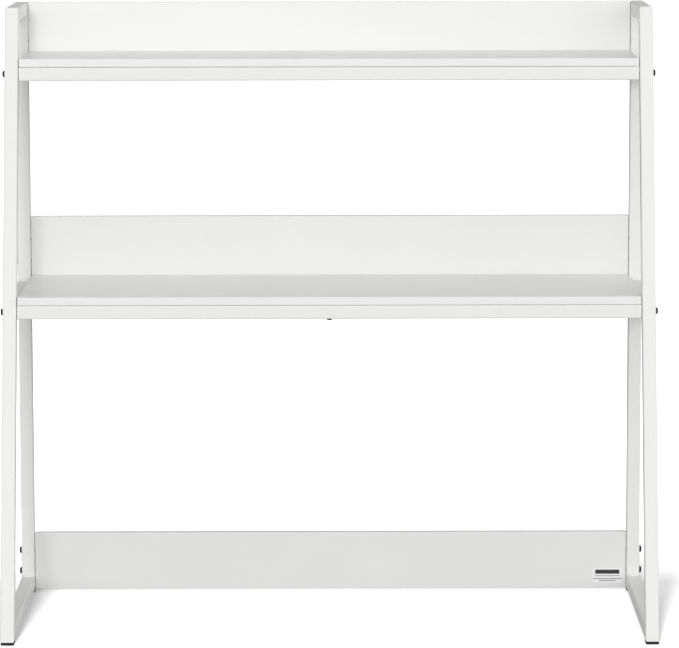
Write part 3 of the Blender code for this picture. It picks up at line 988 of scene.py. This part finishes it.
def rubber():
    """Moulded black rubber with a fine grain and a little dust."""
    surface = Surface("black_rubber_finish")
    dust = surface.span(surface.noise(260.0, 6.0, 0.7), 0, 0.6, 0.5, 0.8)
    surface.colour(surface.blend(dust, (0.010, 0.010, 0.011), (0.050, 0.050, 0.050)))
    surface.roughness(surface.span(surface.noise(500.0), 0.66, 0.86))
    surface.bumps((surface.noise(1500.0, 4.0), 0.5, 0.00015))
    return surface.material


def black_oxide():
    """Black oxide on steel, rubbed through a little on the edges."""
    surface = Surface("black_oxide_finish", metallic=0.75)
    cloud = surface.blend(surface.noise(350.0, 4.0), (0.018, 0.018, 0.020), (0.045, 0.045, 0.048))
    edge = surface.span(surface.pointiness(), 0.0, 0.6, 0.55, 0.70)
    surface.colour(surface.blend(edge, cloud, (0.22, 0.22, 0.23)))
    surface.roughness(surface.span(surface.noise(700.0, 4.0), 0.22, 0.36, 0.3, 0.7))
    surface.bumps((surface.noise(1800.0, 3.0), 0.25, 0.00006))
    return surface.material


def zinc():
    """Bright zinc plate with fine turning lines."""
    surface = Surface("zinc_plate_finish", metallic=1.0)
    cloud = surface.noise(240.0, 4.0)
    surface.colour(surface.blend(cloud, (0.56, 0.57, 0.60), (0.72, 0.72, 0.70)))
    lines = surface.noise(1.0, 3.0, 0.5, surface.stretched((4000.0, 400.0, 4000.0)))
    surface.roughness(surface.span(lines, 0.22, 0.40, 0.3, 0.7))
    surface.bumps((lines, 0.20, 0.00004))
    return surface.material


def label_paper():
    """Blank printed sticker: plain bars and a thin border in place of any lettering."""
    surface = Surface("label_paper_finish")
    low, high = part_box("blank_label")
    size, centre = high - low, (low + high) / 2
    split = surface.tree.nodes.new("ShaderNodeSeparateXYZ")
    scale = (1 / size.x, 1.0, 1 / size.z)
    offset = (-centre.x / size.x, 0.0, -centre.z / size.z)
    surface.link(surface.stretched(scale, offset), split.inputs["Vector"])
    across, up = split.outputs["X"], split.outputs["Z"]

    def bar(x, width, z, height):
        """Mask of a bar, whose middle and size are shares of the label's."""
        inside_x = surface.math("COMPARE", across, x, width / 2)
        inside_z = surface.math("COMPARE", up, z, height / 2)
        return surface.math("MULTIPLY", inside_x, inside_z)

    edge = surface.math("SUBTRACT", bar(0, 0.965, 0, 0.935), bar(0, 0.950, 0, 0.905))
    thin = surface.math("MAXIMUM", bar(0, 0.76, -0.03, 0.040), bar(0, 0.88, -0.20, 0.050))
    thin = surface.math("MAXIMUM", thin, bar(0, 0.52, -0.31, 0.050))
    thin = surface.math("MAXIMUM", thin, surface.math("MULTIPLY", edge, 0.60))
    thick = bar(0, 0.74, 0.20, 0.24)
    stock = surface.blend(surface.noise(900.0), (0.86, 0.86, 0.86), (0.91, 0.91, 0.91))
    printed = surface.blend(thin, stock, (0.30, 0.30, 0.30))
    surface.colour(surface.blend(thick, printed, (0.03, 0.03, 0.03)))
    surface.roughness(surface.span(surface.noise(300.0), 0.30, 0.45))
    surface.bumps((surface.noise(1600.0), 0.15, 0.00003))
    return surface.material


# ---------------------------------------------------------------- stage


FLOOR_SIZE = 80.0
FLOOR_SEEN_GLOW = 0.18
FLOOR_SEEN_GAIN = 0.60
FLOOR_WHITE_FROM = 0.25
FLOOR_WHITE_BEYOND = 0.60
FLOOR_TONE = 0.05
FLOOR_BOUNCE_GLOW = 0.30
FLOOR_DARK_FROM = 0.8
FLOOR_DARK_BEYOND = 2.2
SKY_DIM = 0.06
SKY_LOBES = (("Y", -1.0, 1.19), ("Y", 1.0, 0.26), ("X", -1.0, 0.36), ("X", 1.0, 0.92))
KEY_PLACE = (-1.19, -13.0, 2.5)
KEY_AIM = (0.0, 0.0, 0.45)
KEY_SIZE = 1.46
KEY_POWER = 338.0
FLOOR_KEY_POWER = 8000.0
CAMERA_PLACE = Vector((0.0196, -5.5765, 1.1997))
CAMERA_YAW = -0.05
CAMERA_PITCH = 7.76
CAMERA_ROLL = -0.12
CAMERA_LENS = 202.0


def add_floor():
    """Plain pale floor, white to the camera but for soft shadows.

    It throws back less light than it shows, and hardly any from behind the hutch. It glows: to the camera a
    little near the hutch and plain white behind it, and near the hutch as painted bounce light that lights
    the hutch from below.
    """
    reach = FLOOR_SIZE / 2
    around = ((-reach, -reach), (reach, -reach), (reach, reach), (-reach, reach))
    bm = bmesh.new()
    bm.faces.new([bm.verts.new((x, y, 0.0)) for x, y in around])
    obj = bpy.data.objects.new("studio_floor", finished_mesh("studio_floor", bm))
    surface = Surface("studio_floor_finish")
    surface.shader.inputs["Roughness"].default_value = 1.0
    surface.shader.inputs["Specular IOR Level"].default_value = 0.0
    surface.shader.inputs["Emission Color"].default_value = (1.0, 1.0, 1.0, 1.0)
    seen = surface.tree.nodes.new("ShaderNodeLightPath").outputs["Is Camera Ray"]
    split = surface.tree.nodes.new("ShaderNodeSeparateXYZ")
    surface.link(surface.coords, split.inputs["Vector"])
    near = surface.span(split.outputs["Y"], 1.0, 0.0, FLOOR_DARK_FROM, FLOOR_DARK_BEYOND)
    # Painted bounce light: for every ray but the camera's, the floor near the hutch glows and lights it from
    # below.
    painted_bounce = surface.math("MULTIPLY", near, FLOOR_BOUNCE_GLOW)
    tone = surface.math("MULTIPLY", near, FLOOR_TONE)
    glow = surface.span(split.outputs["Y"], FLOOR_SEEN_GLOW, 1.0, FLOOR_WHITE_FROM, FLOOR_WHITE_BEYOND)
    surface.colour(surface.mixed(seen, tone, FLOOR_SEEN_GAIN))
    surface.link(surface.mixed(seen, painted_bounce, glow), surface.shader.inputs["Emission Strength"])
    obj.data.materials.append(surface.material)
    bpy.context.scene.collection.objects.link(obj)
    return obj


def add_world():
    """Soft studio surroundings: bright in front and to the right, dim elsewhere, dark overhead.

    The camera itself sees plain white.
    """
    world = bpy.data.worlds.new("studio")
    world.use_nodes = True
    tree = world.node_tree
    background = tree.nodes["Background"]
    split = tree.nodes.new("ShaderNodeSeparateXYZ")
    coords = tree.nodes.new("ShaderNodeTexCoord")
    tree.links.new(coords.outputs["Generated"], split.inputs["Vector"])
    strength = None
    for axis, full, glow in SKY_LOBES:
        ramp = tree.nodes.new("ShaderNodeMapRange")
        for socket, value in zip(ramp.inputs[1:5], (0.0, full, 0.0, glow)):
            socket.default_value = value
        tree.links.new(split.outputs[axis], ramp.inputs["Value"])
        total = tree.nodes.new("ShaderNodeMath")
        total.operation = "ADD"
        total.inputs[1].default_value = SKY_DIM
        tree.links.new(ramp.outputs["Result"], total.inputs[0])
        if strength:
            tree.links.new(strength, total.inputs[1])
        strength = total.outputs["Value"]
    tree.links.new(strength, background.inputs["Strength"])
    white = tree.nodes.new("ShaderNodeBackground")
    seen = tree.nodes.new("ShaderNodeLightPath")
    choice = tree.nodes.new("ShaderNodeMixShader")
    tree.links.new(seen.outputs["Is Camera Ray"], choice.inputs["Fac"])
    tree.links.new(background.outputs["Background"], choice.inputs[1])
    tree.links.new(white.outputs["Background"], choice.inputs[2])
    white.inputs["Color"].default_value = (1.0, 1.0, 1.0, 1.0)
    background.inputs["Color"].default_value = (1.0, 1.0, 1.0, 1.0)
    tree.links.new(choice.outputs["Shader"], tree.nodes["World Output"].inputs["Surface"])
    bpy.context.scene.world = world


def add_light(name, place, aim, size, power):
    data = bpy.data.lights.new(name, "AREA")
    data.shape = "DISK"
    data.size = size
    data.energy = power
    obj = bpy.data.objects.new(name, data)
    obj.location = place
    obj.rotation_euler = (Vector(aim) - Vector(place)).to_track_quat("-Z", "Y").to_euler()
    obj.visible_camera = False
    bpy.context.scene.collection.objects.link(obj)
    return obj


def add_camera():
    data = bpy.data.cameras.new("camera")
    data.sensor_width = 36.0
    data.sensor_fit = "HORIZONTAL"
    data.lens = CAMERA_LENS
    data.clip_end = 300.0
    obj = bpy.data.objects.new("camera", data)
    turn = Matrix.Rotation(math.radians(-CAMERA_YAW), 4, "Z")
    tilt = Matrix.Rotation(math.radians(90 - CAMERA_PITCH), 4, "X")
    roll = Matrix.Rotation(math.radians(CAMERA_ROLL), 4, "Z")
    obj.matrix_world = Matrix.Translation(CAMERA_PLACE) @ turn @ tilt @ roll
    bpy.context.scene.collection.objects.link(obj)
    bpy.context.scene.camera = obj


def build():
    steel = powder_coat()
    add_side_frames(steel)
    add_front_rails(steel)
    add_boards(laminate(), edge_band(), board_core())
    black = black_oxide()
    add_bolts(black)
    add_screws(black)
    add_barrel_nuts(zinc())
    add_foot_pads(rubber())
    add_label(label_paper())
    floor = add_floor()
    add_world()
    add_light("key", KEY_PLACE, KEY_AIM, KEY_SIZE, KEY_POWER)
    floor_key = add_light("floor_key", KEY_PLACE, KEY_AIM, KEY_SIZE, FLOOR_KEY_POWER)
    floor_only = bpy.data.collections.new("floor_only")
    floor_only.objects.link(floor)
    floor_key.light_linking.receiver_collection = floor_only
    add_camera()
    bpy.context.scene.view_settings.view_transform = "Standard"


build()

bpy.context.view_layer.update()
